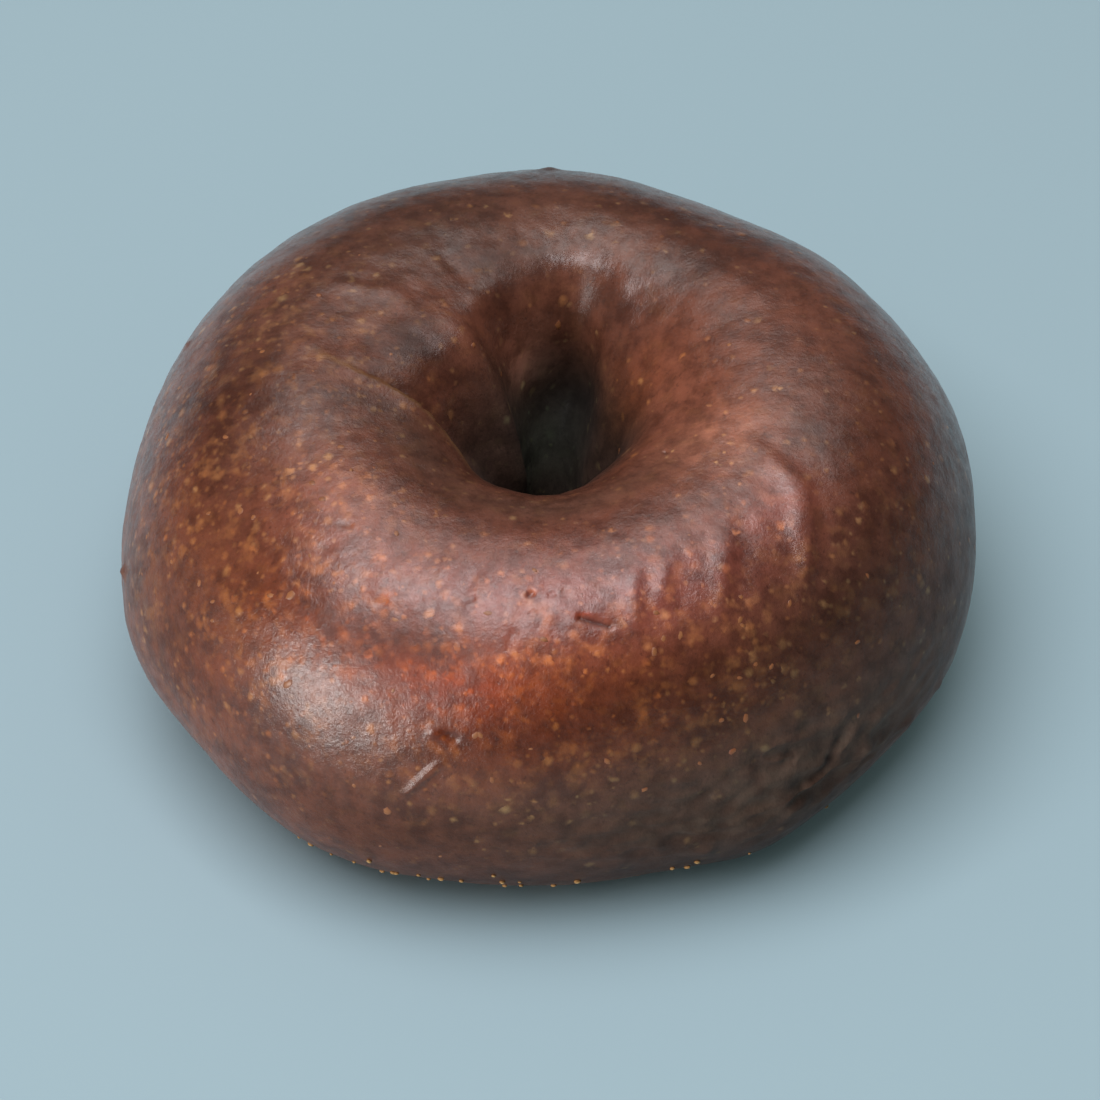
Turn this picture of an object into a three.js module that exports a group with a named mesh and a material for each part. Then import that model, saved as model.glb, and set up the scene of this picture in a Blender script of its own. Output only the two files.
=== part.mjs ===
// A boiled and baked bagel of dark rye dough: one closed ring of bread with a glossy crust,
// a deep funnel on top, a narrow hole through the middle and a flat underside.
// Millimetres, +Z up. The origin is on the table, under the middle of the bagel's outline.
// Azimuth 0 is +X and grows towards +Y. A section angle goes round the ring of dough:
// 0 at the outer girth, 90 at the crest, 180 at the throat of the hole, 270 underneath.

import * as THREE from 'three';
import { ParametricGeometry } from 'three/addons/geometries/ParametricGeometry.js';

// Driving dimensions, in millimetres.
const height = 47; // table to the mean crest
const crestRadius = 28; // hole axis to the crest
const outerReach = 24.1; // crest out to the girth
const innerReach = 23.3; // crest in to the throat of the hole
const girthLevel = 20.3; // table to the girth
const pressedDepth = 3; // how much of the round underside the baking sheet pressed flat
const baseTurnUp = 1.2; // height in which the flat underside turns up into the side

// The girth and the crest vary round the ring. A wave's turn is the azimuth of a peak, in degrees.
const girthWaves = [
  { lobes: 1, size: 0.85, turn: 62 }, // fuller at the back
  { lobes: 2, size: 1.2, turn: 7 }, // slightly oval
  { lobes: 3, size: 1.4, turn: -10 }, // three soft corners
  { lobes: 4, size: 0.25, turn: 35 },
  { lobes: 5, size: 0.2, turn: 32 },
];
const crestWaves = [
  { lobes: 1, size: 0.55, turn: 71 }, // higher at the back
  { lobes: 2, size: 0.85, turn: -10 }, // higher at both sides
];

// One flank is drawn in under the girth, where the dough lay against its neighbour.
const tuck = { azimuth: -145, width: 25, depth: 1.5 };

// Local swells and dents. rise is their height in millimetres, and azimuth, section, along and
// across are the place and half widths in degrees.
const swells = [
  { azimuth: -160, section: -5, rise: 0.4, along: 9, across: 35 }, // shoulder beside the tuck
  { azimuth: -145, section: -12, rise: -0.6, along: 12, across: 40 }, // straight flank
  { azimuth: -120, section: -32, rise: 0.45, along: 14, across: 30 }, // belly beside the tuck
  { azimuth: -62, section: -32, rise: 0.7, along: 12, across: 30 }, // belly at the front
  { azimuth: -57, section: -28, rise: 1.0, along: 9, across: 25 }, // fuller at the front right
  { azimuth: -38, section: -25, rise: -0.3, along: 12, across: 30 }, // hollow beside it
  { azimuth: 0, section: 0, rise: -1.3, along: 25, across: 40 }, // flatter right side
  { azimuth: 65, section: 30, rise: 0.6, along: 14, across: 40 }, // full back right
  { azimuth: 95, section: 30, rise: 0.3, along: 16, across: 40 }, // full back
  { azimuth: 140, section: 30, rise: 0.4, along: 18, across: 40 }, // full back left
  { azimuth: 92, section: 105, rise: 0.7, along: 26, across: 9 }, // brow at the back of the hole
  { azimuth: 112, section: 118, rise: 1.4, along: 18, across: 9 }, // brow at its back left
  { azimuth: 145, section: 127, rise: 3.8, along: 27, across: 18 }, // lobe that leans in from its left
  { azimuth: 135, section: 160, rise: 3.2, along: 25, across: 24 }, // wall under that lobe
  { azimuth: 85, section: 148, rise: -7.0, along: 27, across: 22 }, // steep back wall
  { azimuth: 85, section: 175, rise: -6.0, along: 31, across: 30 }, // throat drawn to the back
  { azimuth: 10, section: 160, rise: -2.0, along: 30, across: 20 }, // steep right wall
  { azimuth: 76, section: 135, rise: -4.0, along: 11, across: 24 }, // cleft at the back right
  { azimuth: -165, section: 122, rise: 0.7, along: 28, across: 10 }, // fold at the lip
  { azimuth: -165, section: 150, rise: -0.7, along: 28, across: 14 }, // hollow under the fold
];

// Low unevenness all over, as rolled dough has: a few crossing waves, fainter inside the hole.
const lumpWaves = 8;
const lumpHeight = 0.12;
const goldenAngle = 137.508; // spreads the waves' phases, in degrees
const lumpShareMean = 0.6; // share of the lumps at the crest
const lumpShareSwing = 0.4; // how much more of them the girth has, and the throat less

// Mesh resolution.
const azimuthSteps = 96;
const sectionSteps = 42;

const radians = THREE.MathUtils.degToRad;

function bell(distance) {
  return Math.exp(-distance * distance);
}

// The shorter way from one angle to another, in degrees.
function angleBetween(angle, centre) {
  return THREE.MathUtils.euclideanModulo(angle - centre + 180, 360) - 180;
}

function sumOfWaves(waves, azimuth) {
  let sum = 0;
  for (const wave of waves) {
    sum += wave.size * Math.cos(radians(wave.lobes * (azimuth - wave.turn)));
  }
  return sum;
}

function unevenness(azimuth, section) {
  let sum = 0;
  for (let wave = 1; wave <= lumpWaves; wave += 1) {
    const lobesRound = 2 + ((wave * 5) % 9);
    const lobesAcross = (wave % 2 ? 1 : -1) * (1 + (wave % 3));
    sum += Math.sin(radians(lobesRound * azimuth + lobesAcross * section + wave * goldenAngle));
  }
  const share = lumpShareMean + lumpShareSwing * Math.cos(radians(section));
  return lumpHeight * share * sum;
}

function localRise(azimuth, section) {
  let sum = unevenness(azimuth, section);
  for (const swell of swells) {
    const along = angleBetween(azimuth, swell.azimuth) / swell.along;
    const across = angleBetween(section, swell.section) / swell.across;
    sum += swell.rise * bell(along) * bell(across);
  }
  return sum;
}

// Presses what lies below the table flat, and rounds the edge of the flat off.
function pressFlat(z) {
  if (z <= 0) {
    return 0;
  }
  if (z < baseTurnUp) {
    return (z * z) / (2 * baseTurnUp);
  }
  return z - baseTurnUp / 2;
}

// The crust's surface, for a share of a turn round the hole and round the section.
function crust(turnShare, sectionShare, target) {
  const azimuth = 360 * turnShare;
  const section = 360 * sectionShare;
  const outwards = Math.cos(radians(section));
  const upwards = Math.sin(radians(section));

  const reach = outwards > 0 ? outerReach + sumOfWaves(girthWaves, azimuth) : innerReach;
  const above = height + sumOfWaves(crestWaves, azimuth) - girthLevel;
  const below = girthLevel + pressedDepth;
  const rise = localRise(azimuth, section);
  let radius = crestRadius + (reach + rise) * outwards;
  if (outwards > 0 && upwards < 0) {
    const lowerSide = Math.sin(radians(2 * section)) ** 2;
    radius -= tuck.depth * bell(angleBetween(azimuth, tuck.azimuth) / tuck.width) * lowerSide;
  }
  const level = girthLevel + ((upwards > 0 ? above : below) + rise) * upwards;

  const turn = radians(azimuth);
  target.set(radius * Math.cos(turn), radius * Math.sin(turn), pressFlat(level));
}

function makeBagel() {
  const geometry = new ParametricGeometry(crust, azimuthSteps, sectionSteps);
  geometry.computeBoundingBox();
  const middle = geometry.boundingBox.getCenter(new THREE.Vector3());
  geometry.translate(-middle.x, -middle.y, 0);
  const material = new THREE.MeshStandardMaterial({ color: 0x4b271c, roughness: 0.35, metalness: 0 });
  const bagel = new THREE.Mesh(geometry, material);
  bagel.name = 'bagel';
  return bagel;
}

const group = new THREE.Group();
group.add(makeBagel());

export default group;
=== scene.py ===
"""The looks of a dark rye bagel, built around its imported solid.

Lengths are in millimetres and angles in degrees, until a mesh is made in metres.
Azimuth 0 is +X and grows towards +Y. A section angle goes round the ring of dough: 0 at the outer
girth, 90 at the crest, 180 at the throat of the hole and 270 underneath.
"""

import math

import bmesh
import bpy
import numpy as np
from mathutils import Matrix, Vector, noise


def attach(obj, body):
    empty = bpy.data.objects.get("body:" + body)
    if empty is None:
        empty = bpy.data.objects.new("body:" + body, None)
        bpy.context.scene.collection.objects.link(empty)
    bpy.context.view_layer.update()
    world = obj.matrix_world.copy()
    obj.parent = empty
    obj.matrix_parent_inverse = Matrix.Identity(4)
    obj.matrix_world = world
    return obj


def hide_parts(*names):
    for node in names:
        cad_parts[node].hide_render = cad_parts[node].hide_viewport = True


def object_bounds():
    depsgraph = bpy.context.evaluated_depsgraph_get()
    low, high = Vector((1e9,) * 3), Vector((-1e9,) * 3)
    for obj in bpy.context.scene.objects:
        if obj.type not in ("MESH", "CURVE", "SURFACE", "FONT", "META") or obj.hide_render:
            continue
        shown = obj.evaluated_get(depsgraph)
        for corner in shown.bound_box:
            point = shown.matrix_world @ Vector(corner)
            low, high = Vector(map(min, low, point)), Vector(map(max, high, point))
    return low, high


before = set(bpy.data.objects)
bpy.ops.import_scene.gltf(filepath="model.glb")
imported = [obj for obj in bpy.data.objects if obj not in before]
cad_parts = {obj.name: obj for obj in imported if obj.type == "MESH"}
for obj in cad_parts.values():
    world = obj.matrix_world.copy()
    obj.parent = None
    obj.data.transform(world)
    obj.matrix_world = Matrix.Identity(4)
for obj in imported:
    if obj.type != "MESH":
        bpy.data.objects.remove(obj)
cad_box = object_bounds()

MM = 0.001

# The bread's form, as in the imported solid.
HEIGHT = 47.0  # table to the mean crest
CREST_RADIUS = 28.0  # hole axis to the crest
OUTER_REACH = 24.1  # crest out to the girth
INNER_REACH = 23.3  # crest in to the throat of the hole
GIRTH_LEVEL = 20.3  # table to the girth
PRESSED_DEPTH = 3.0  # how much of the round underside is pressed flat
BASE_TURN_UP = 1.2  # height in which the flat underside turns up into the side

# lobes, size, azimuth of a peak
GIRTH_WAVES = [(1, 0.85, 62), (2, 1.2, 7), (3, 1.4, -10), (4, 0.25, 35), (5, 0.2, 32)]
CREST_WAVES = [(1, 0.55, 71), (2, 0.85, -10)]

TUCK_AZIMUTH = -145
TUCK_WIDTH = 25
TUCK_DEPTH = 1.5

# azimuth, section, rise, half width along, half width across
SWELLS = [
    (-160, -5, 0.4, 9, 35),  # shoulder beside the tuck
    (-145, -12, -0.6, 12, 40),  # straight flank
    (-120, -32, 0.45, 14, 30),  # belly beside the tuck
    (-62, -32, 0.7, 12, 30),  # belly at the front
    (-57, -28, 1.0, 9, 25),  # fuller at the front right
    (-38, -25, -0.3, 12, 30),  # hollow beside it
    (0, 0, -1.3, 25, 40),  # flatter right side
    (65, 30, 0.6, 14, 40),  # full back right
    (95, 30, 0.3, 16, 40),  # full back
    (140, 30, 0.4, 18, 40),  # full back left
    (92, 105, 0.7, 26, 9),  # brow at the back of the hole
    (112, 118, 1.4, 18, 9),  # brow at its back left
    (145, 127, 3.8, 27, 18),  # lobe that leans in from its left
    (135, 160, 3.2, 25, 24),  # wall under that lobe
    (85, 148, -7.0, 27, 22),  # steep back wall
    (85, 175, -6.0, 31, 30),  # throat drawn to the back
    (10, 160, -2.0, 30, 20),  # steep right wall
    (76, 135, -4.0, 11, 24),  # cleft at the back right
    (-165, 122, 0.7, 28, 10),  # fold at the lip
    (-165, 150, -0.7, 28, 14),  # hollow under the fold
]

LUMP_WAVES = 8
LUMP_HEIGHT = 0.12
GOLDEN_ANGLE = 137.508
LUMP_SHARE_MEAN = 0.6
LUMP_SHARE_SWING = 0.4

# Mesh cells: fine where the crust is looked at, coarse underneath and deep in the hole.
FINE_CELL = 0.56
BASE_CELL = 1.5
COARSE_FROM = 215  # section angles between which the cells are coarse
COARSE_TO = 295
COARSE_BLEND = 8
MARK_REACHES = (0.9, 0.6)  # how near to a slit or the thin ridge cells are halved, and halved again

# The camera's view.
CAMERA_ELEVATION = 45.56
CAMERA_DISTANCE = 600.0
CAMERA_TARGET = (0.0, -1.3, 16.06)
LENS = 158.3
SENSOR_WIDTH = 36.0
CLIP_START = 0.01  # metres

SEED = 12


def bell(distance):
    return np.exp(-distance * distance)


def angle_between(angle, centre):
    """The shorter way from centre to angle."""
    return (angle - centre + 180) % 360 - 180


def cosine(angle):
    return np.cos(np.radians(angle))


def sine(angle):
    return np.sin(np.radians(angle))


def sum_of_waves(waves, azimuth):
    return sum(size * cosine(lobes * (azimuth - turn)) for lobes, size, turn in waves)


def unevenness(azimuth, section):
    total = 0
    for wave in range(1, LUMP_WAVES + 1):
        lobes_round = 2 + wave * 5 % 9
        lobes_across = (1 if wave % 2 else -1) * (1 + wave % 3)
        total = total + sine(lobes_round * azimuth + lobes_across * section + wave * GOLDEN_ANGLE)
    share = LUMP_SHARE_MEAN + LUMP_SHARE_SWING * cosine(section)
    return LUMP_HEIGHT * share * total


def local_rise(azimuth, section):
    total = unevenness(azimuth, section)
    for at, at_section, rise, along, across in SWELLS:
        round_ring = bell(angle_between(azimuth, at) / along)
        total = total + rise * round_ring * bell(angle_between(section, at_section) / across)
    return total


def press_flat(level):
    turning = level * level / (2 * BASE_TURN_UP)
    lifted = level - BASE_TURN_UP / 2
    return np.where(level <= 0, 0, np.where(level < BASE_TURN_UP, turning, lifted))


def bread(azimuth, section):
    """Points of the smooth bread, the hole's axis at x = y = 0."""
    outwards = cosine(section)
    upwards = sine(section)
    reach = np.where(outwards > 0, OUTER_REACH + sum_of_waves(GIRTH_WAVES, azimuth), INNER_REACH)
    above = HEIGHT + sum_of_waves(CREST_WAVES, azimuth) - GIRTH_LEVEL
    below = GIRTH_LEVEL + PRESSED_DEPTH
    rise = local_rise(azimuth, section)
    radius = CREST_RADIUS + (reach + rise) * outwards
    lower_side = np.where((outwards > 0) & (upwards < 0), sine(2 * section) ** 2, 0)
    radius = radius - TUCK_DEPTH * bell(angle_between(azimuth, TUCK_AZIMUTH) / TUCK_WIDTH) * lower_side
    level = GIRTH_LEVEL + (np.where(upwards > 0, above, below) + rise) * upwards
    return np.stack([radius * cosine(azimuth), radius * sine(azimuth), press_flat(level)], -1)


def outward(azimuth, section):
    """Unit normals of the smooth bread."""
    step = 0.05
    along = bread(azimuth + step, section) - bread(azimuth - step, section)
    across = bread(azimuth, section + step) - bread(azimuth, section - step)
    normal = np.cross(along, across)
    return normal / np.linalg.norm(normal, axis=-1, keepdims=True)


def hole_axis():
    """Where the hole's axis stands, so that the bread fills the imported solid's box."""
    azimuth, section = np.meshgrid(np.arange(0, 360, 1.0), np.arange(-60, 61, 1.0))
    points = bread(azimuth, section).reshape(-1, 3)
    middle = (points.min(0) + points.max(0)) / 2
    box_middle = (np.array(cad_box[0]) + np.array(cad_box[1])) / 2 / MM
    return np.array([box_middle[0] - middle[0], box_middle[1] - middle[1], 0])


HOLE_AXIS = hole_axis()


# Relief. Each function gives heights above the smooth bread for arrays of places.

SEED_STEP = 17.3  # how far apart in the noise two seeds lie


def noise_at(points, size, seed=0):
    """Smooth noise from -1 to 1 whose lumps are about size wide."""
    shifted = np.asarray(points) / size + SEED_STEP * seed
    return np.array([noise.noise(point) for point in shifted.tolist()])


def smooth_step(low, high, value):
    share = np.clip((value - low) / (high - low), 0, 1)
    return share * share * (3 - 2 * share)


def patch(azimuth, section, at, at_section, along, across):
    """A soft-edged window round one place on the ring."""
    return bell(angle_between(azimuth, at) / along) * belt(section, at_section, across)


def belt(section, at_section, across):
    """A soft-edged window all the way round the ring."""
    return bell(angle_between(section, at_section) / across)


def total_of(patches, azimuth, section):
    """The sum of patches, each given as its window and its strength."""
    return sum(strength * patch(azimuth, section, *window) for *window, strength in patches)


def route(places, steps=12):
    """Points on the bread along a line through (azimuth, section) places."""
    places = np.array(places, float)
    share = np.linspace(0, len(places) - 1, steps * (len(places) - 1) + 1)
    index = np.arange(len(places))
    azimuth = np.interp(share, index, places[:, 0])
    section = np.interp(share, index, places[:, 1])
    return bread(azimuth, section)


def distance_to(points, line):
    """Distance of each point to a line's nearest point, and how far along the line that is, from 0 to 1."""
    nearest = np.full(len(points), np.inf)
    along = np.zeros(len(points))
    for number, place in enumerate(line):
        distance = np.linalg.norm(points - place, axis=1)
        closer = distance < nearest
        nearest[closer] = distance[closer]
        along[closer] = number / (len(line) - 1)
    return nearest, along


# Pleats that run down from the hole's lip, and the grooves between them: places, half width, rise
PLEATS = [
    (
        [(-25.5, 97), (-26.5, 92), (-28.3, 86.5), (-29.8, 81.5), (-31.3, 76), (-33.3, 71.5), (-35.3, 67.5)]
        + [(-37.8, 63), (-40.3, 58.5), (-42.8, 54.5), (-45.3, 50), (-48.5, 44), (-51, 38)],
        1.6,
        0.5,
    ),
    ([(-29, 74), (-31.5, 69), (-35, 63), (-38, 58), (-41, 52.5), (-44, 47.5), (-46, 43)], 1.6, -0.13),
    (
        [(-47.5, 85), (-50.5, 77), (-53, 71.5), (-55.5, 66.5), (-57.5, 61.5), (-59.5, 55.5), (-60.5, 50)],
        1.4,
        0.34,
    ),
    ([(-57.5, 81), (-59.5, 74.5), (-62, 69), (-64.5, 64), (-66.5, 59), (-68, 54)], 1.2, -0.11),
    ([(-61, 84), (-63.5, 77), (-65.5, 73), (-67.5, 69), (-69, 64.5), (-70, 59)], 1.0, 0.18),
    ([(-65, 83), (-67, 79), (-69.2, 73), (-70.7, 67), (-71.7, 61)], 0.9, -0.06),
    ([(-71, 82), (-72.2, 76), (-73.2, 69.5), (-73.8, 63), (-74, 57.5), (-74, 52)], 1.2, 0.24),
    ([(-45.5, 80), (-48.5, 73), (-51.5, 68.5), (-54, 63.5), (-56, 58.5), (-57.5, 53)], 1.3, -0.09),
    ([(-90, 84), (-92, 74), (-95, 62)], 0.9, -0.10),
    ([(-103, 86), (-105, 74), (-107, 58)], 0.8, -0.12),
    ([(-116, 84), (-119, 74), (-122, 62)], 1.0, 0.12),
    ([(-130, 80), (-134, 68), (-137, 56)], 0.9, -0.10),
    ([(60, 82), (56, 96), (50, 108)], 1.2, 0.18),
    ([(98, 84), (101, 96), (104, 108)], 1.2, 0.20),
    ([(112, 82), (118, 96), (122, 110)], 1.1, -0.16),
    ([(150, 82), (146, 96), (140, 112)], 1.2, 0.16),
    ([(-72, -8), (-69, -6.5), (-66, -5), (-63.5, -1.5), (-61.5, 3), (-56, 6)], 1.0, 0.35),
    ([(-65.5, 5.5), (-62.5, 9), (-59.5, 8.5)], 0.8, 0.25),
]
# A thin ridge that catches the light at the front left
GLINT_RIDGE = ([(-109.4, 10), (-108.2, 13), (-106.4, 17.5), (-104.8, 21.5), (-102.8, 25)], 0.55, 0.32)

# How far a pleat's edge wanders, as a share of its width, and the size of the wandering
PLEAT_WANDER = 0.54
PLEAT_WANDER_SIZE = 3.4
TAPER_IN = 0.3  # share of a pleat's length over which it rises
TAPER_OUT = 0.65  # share of its length from which it falls again

# Slits and pits: places, half width, depth
SLITS = [
    ([(-83.4, 64.6), (-81.6, 63.2), (-79.9, 62.0), (-78.6, 60.8)], 0.42, 0.36),  # slit on the front crest
    ([(-95.0, 61.0), (-95.6, 58.5), (-95.9, 56.5)], 0.6, 0.12),
    ([(-92.6, 73.3), (-92.2, 73.7)], 0.38, 0.18),  # pits beside it
    ([(-88.6, 72.8), (-88.2, 73.2)], 0.4, 0.1),
    ([(-86.1, 73.2), (-85.8, 74.2)], 0.5, 0.1),
    ([(-92.2, 66.8), (-91.8, 67.2)], 0.45, 0.1),
    ([(-104, 70.5), (-103.4, 71)], 0.45, 0.12),
    ([(-119.5, 63), (-118.2, 64)], 0.4, 0.12),
    ([(-134.0, 77.7), (-133.0, 78.5)], 0.5, 0.18),
    ([(-51.6, -0.8), (-50.4, 1.2), (-49.4, 2.6)], 0.9, 0.3),  # cracks at the lower right
    ([(-48.9, 3.6), (-48, 5.5), (-47.5, 7)], 0.8, 0.28),
    ([(-60, 13.2), (-58, 12.4), (-56.5, 12), (-54.8, 9.8)], 0.6, 0.15),
    ([(-45.5, -3.4), (-43.2, -4.6), (-41, -4.6)], 0.7, 0.25),
    ([(-54.8, -4.5), (-53.8, -2.5)], 0.7, 0.25),
    ([(-56, 10), (-55.2, 11)], 0.5, 0.12),
    ([(-103.3, 31.2), (-102.5, 30.4)], 0.55, 0.26),  # dent beside the small glint
    ([(-37.8, 114.4), (-36.8, 115.6)], 0.4, 0.3),
    ([(140, 12), (141.4, 14), (143, 17)], 0.6, 0.3),
    ([(52, 2), (54, -2), (57, -6)], 0.7, 0.3),
    ([(98, -8), (100, -4)], 0.6, 0.25),
]

PIT_SHADE_DEPTHS = (0.1, 0.45)  # depths between which painted shade darkens the crust in slits, pits and grooves
EDGE_WANDER = 0.14  # how far the edges of slits and blisters wander
EDGE_WANDER_SIZE = 1.7

# Blisters: azimuth, section, half width, rise
BLISTERS = [
    (-33.5, -9.5, 1.5, 0.7),
    (-25.5, -8.5, 1.2, 0.45),
    (-67.0, -18.5, 1.4, 0.45),
    (-42.5, -1.5, 1.6, 0.45),
    (-59.0, 16.0, 1.3, 0.3),
    (-166.5, 11.5, 0.7, 0.6),
    (160.5, 38.0, 0.7, 0.35),
    (89.0, 52.0, 1.1, 0.35),
    (-105.6, 31.5, 0.62, 0.36),
    (-48.0, 8.0, 1.6, 0.35),
    (-57.0, 2.0, 1.8, 0.3),
    (-40.0, 6.0, 1.4, 0.3),
    (-62.0, -8.0, 1.5, 0.25),
    (30.0, 4.0, 1.4, 0.4),
    (118.0, 2.0, 1.6, 0.4),
    (172.0, -6.0, 1.2, 0.3),
]

# The fold of dough at the left of the lip: azimuths and the section it lies on there.
FOLD_AZIMUTHS = [173, 175, 178, 181, 184.5, 191.5, 197.5, 215, 235]
FOLD_SECTIONS = [92, 95.5, 102.5, 110, 117.5, 126, 131, 134, 134]
FOLD_RISE = 0.45
FOLD_OUTER = 2.6  # how softly it swells on the outside
FOLD_INNER = 0.6  # how sharply it drops into the hole
FOLD_DROP = 1.3
FOLD_HOLLOW = 6.0  # how far the hollow beyond it reaches
FOLD_SEEN_FROM = 171  # azimuths between which its edge shows
FOLD_SEEN_TO = 235
FOLD_RISES_FROM = 174  # azimuths in which it grows to its full height
FOLD_RISES_TO = 192
FOLD_FADES_IN = 5  # degrees in which its edge comes and goes
FOLD_FADES_OUT = 30
FOLD_HIGHLIGHT_OFFSET = 0.2  # how far outside the edge its painted highlight lies
FOLD_HIGHLIGHT_WIDTH = 0.8


def fold_side(azimuth, section):
    """Millimetres from the fold's edge towards the hole, and how far its edge shows there."""
    turned = azimuth % 360
    edge = np.interp(turned, FOLD_AZIMUTHS, FOLD_SECTIONS)
    side = np.radians(angle_between(section, edge)) * INNER_REACH
    seen = smooth_step(FOLD_SEEN_FROM, FOLD_SEEN_FROM + FOLD_FADES_IN, turned)
    return side, seen * (1 - smooth_step(FOLD_SEEN_TO - FOLD_FADES_OUT, FOLD_SEEN_TO, turned))


def fold(azimuth, section):
    side, seen = fold_side(azimuth, section)
    strength = seen * smooth_step(FOLD_RISES_FROM, FOLD_RISES_TO, azimuth % 360)
    crest = np.where(side < 0, bell(side / FOLD_OUTER), bell(side / FOLD_INNER))
    drop = np.where(side > 0, (1 - bell(side / FOLD_INNER)) * bell(side / FOLD_HOLLOW), 0)
    return strength * (FOLD_RISE * crest - FOLD_DROP * drop)


# The ring with shrunk sections, in which noise makes streaks across the ring
GRAIN_MAJOR = 28.0
GRAIN_MINOR = 13.0


def grain_places(azimuth, section):
    """The ring's places with its sections shrunk, so that noise in them runs across the ring."""
    radius = GRAIN_MAJOR + GRAIN_MINOR * cosine(section)
    level = GRAIN_MINOR * sine(section)
    return np.stack([radius * cosine(azimuth), radius * sine(azimuth), level], -1)


# Low wrinkles: their sizes, and the windows in which they are higher
WRINKLE_SIZE = 2.6
FINE_WRINKLE_SIZE = 1.3
FINE_WRINKLE_SHARE = 0.6
LUMP_SIZE = 3.2
ON_TOP = (95, 42)  # section, half width across
IN_HOLE = (150, 34)
FRONT_RIGHT = (-52, 72, 26, 26)  # azimuth, section, half widths along and across
BACK_LEFT = (140, 108, 34, 20)


def wrinkles(points, azimuth, section):
    """Low pleats that run from the hole outwards, and lumps beside the hole."""
    grain = grain_places(azimuth, section)
    fine = FINE_WRINKLE_SHARE * noise_at(grain, FINE_WRINKLE_SIZE, seed=2)
    pleats = noise_at(grain, WRINKLE_SIZE, seed=1) + fine
    lumps = noise_at(points, LUMP_SIZE, seed=10)
    on_top = belt(section, *ON_TOP)
    in_hole = belt(section, *IN_HOLE)
    front_right = patch(azimuth, section, *FRONT_RIGHT)
    back_left = patch(azimuth, section, *BACK_LEFT)
    pleat_height = 0.05 * on_top + 0.06 * in_hole + 0.07 * front_right + 0.04 * back_left
    lump_height = 0.05 + 0.10 * back_left + 0.06 * in_hole
    return pleat_height * pleats + lump_height * lumps


# Where the crust is rough, blistered and torn: azimuth, section, along, across, share
ROUGH = [
    (-50, 1, 19, 17, 1.0),  # low at the front right
    (-71, -8, 17, 14, 0.7),  # low at the front
    (55, -4, 17, 14, 0.8),  # back
    (140, 8, 14, 12, 0.5),  # back left
]
ROUGH_FROM = 0.02  # share below which the crust counts as smooth

# Its ridges run round the side: they are noise on the side laid out flat and squeezed along the ring.
SIDE_RADIUS = 50.0
SIDE_ARC_RADIUS = 24.0
RIDGE_SQUEEZE = (0.42, 0.42, 1)
RIDGE_SIZE = 2.3
RIDGE_HEIGHT = 0.55
BUMP_SIZE = 2.6
BUMP_HEIGHT = 0.4


def rough_share(azimuth, section):
    return np.clip(total_of(ROUGH, azimuth, section), 0, 1)


def rough_relief(azimuth, section):
    share = rough_share(azimuth, section)
    chosen = share > ROUGH_FROM
    arc = np.radians(angle_between(section, 0)) * SIDE_ARC_RADIUS
    side = np.stack([SIDE_RADIUS * cosine(azimuth), SIDE_RADIUS * sine(azimuth), arc], -1)[chosen]
    ridges = 1 - 2 * np.abs(noise_at(side * RIDGE_SQUEEZE, RIDGE_SIZE, seed=5))
    bumps = noise_at(side, BUMP_SIZE, seed=6)
    heights = np.zeros(len(azimuth))
    heights[chosen] = share[chosen] * (RIDGE_HEIGHT * ridges + BUMP_HEIGHT * bumps)
    return heights


def lines_relief(points):
    """Pleats, slits and blisters, with uneven edges."""
    edge_wander = EDGE_WANDER * noise_at(points, EDGE_WANDER_SIZE, seed=11)
    pleat_wander = PLEAT_WANDER * noise_at(points, PLEAT_WANDER_SIZE, seed=12)
    heights = np.zeros(len(points))
    for places, width, rise in PLEATS + [GLINT_RIDGE]:
        nearest, along = distance_to(points, route(places))
        nearest = nearest + width * pleat_wander
        taper = smooth_step(0, TAPER_IN, along) * (1 - smooth_step(TAPER_OUT, 1, along))
        heights += rise * taper * bell(nearest / width)
    for places, width, depth in SLITS:
        nearest, _ = distance_to(points, route(places))
        heights -= depth * bell(np.maximum(nearest + edge_wander, 0) / width)
    for at, at_section, width, rise in BLISTERS:
        place = bread(np.array([float(at)]), np.array([float(at_section)]))[0]
        nearest = np.linalg.norm(points - place, axis=1) + edge_wander
        heights += rise * bell(nearest / width)
    return heights


# Noise all over the crust, and on the flat underside: height, size and seed
SIDE_NOISE = [(0.028, 1.15, 3), (0.04, 2.2, 4), (0.10, 7.0, 7)]
BASE_NOISE = [(0.12, 3.0, 8), (0.05, 1.6, 9)]
BASE_SUNK = 0.12
BASE_ENDS = 1.0  # levels between which the underside's relief gives way to the side's
SIDE_BEGINS = 4.0


def layered(points, layers):
    return sum(height * noise_at(points, size, seed) for height, size, seed in layers)


def relief(points, azimuth, section):
    """All the crust's relief."""
    on_side = smooth_step(BASE_ENDS, SIDE_BEGINS, points[:, 2])
    side = layered(points, SIDE_NOISE) + wrinkles(points, azimuth, section)
    side = side + rough_relief(azimuth, section) + lines_relief(points) + fold(azimuth, section)
    base = layered(points, BASE_NOISE) - BASE_SUNK
    return on_side * side + (1 - on_side) * base


# Colour. Where the crust is lighter or darker, redder or greyer, where shade and sheen are painted on it, and
# how thickly it is flecked.

# Tints, as doublings of red, green and blue.
PALER = (1.0, 1.0, 1.0)
DARKER = (-1.0, -1.0, -1.0)
ROSIER = (0.25, -0.15, 0.35)
RUSTIER = (0.25, -0.15, -0.7)
GREYER = (-0.2, 0.2, 0.4)
GREENER = (-0.5, 0.1, -0.15)
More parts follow.
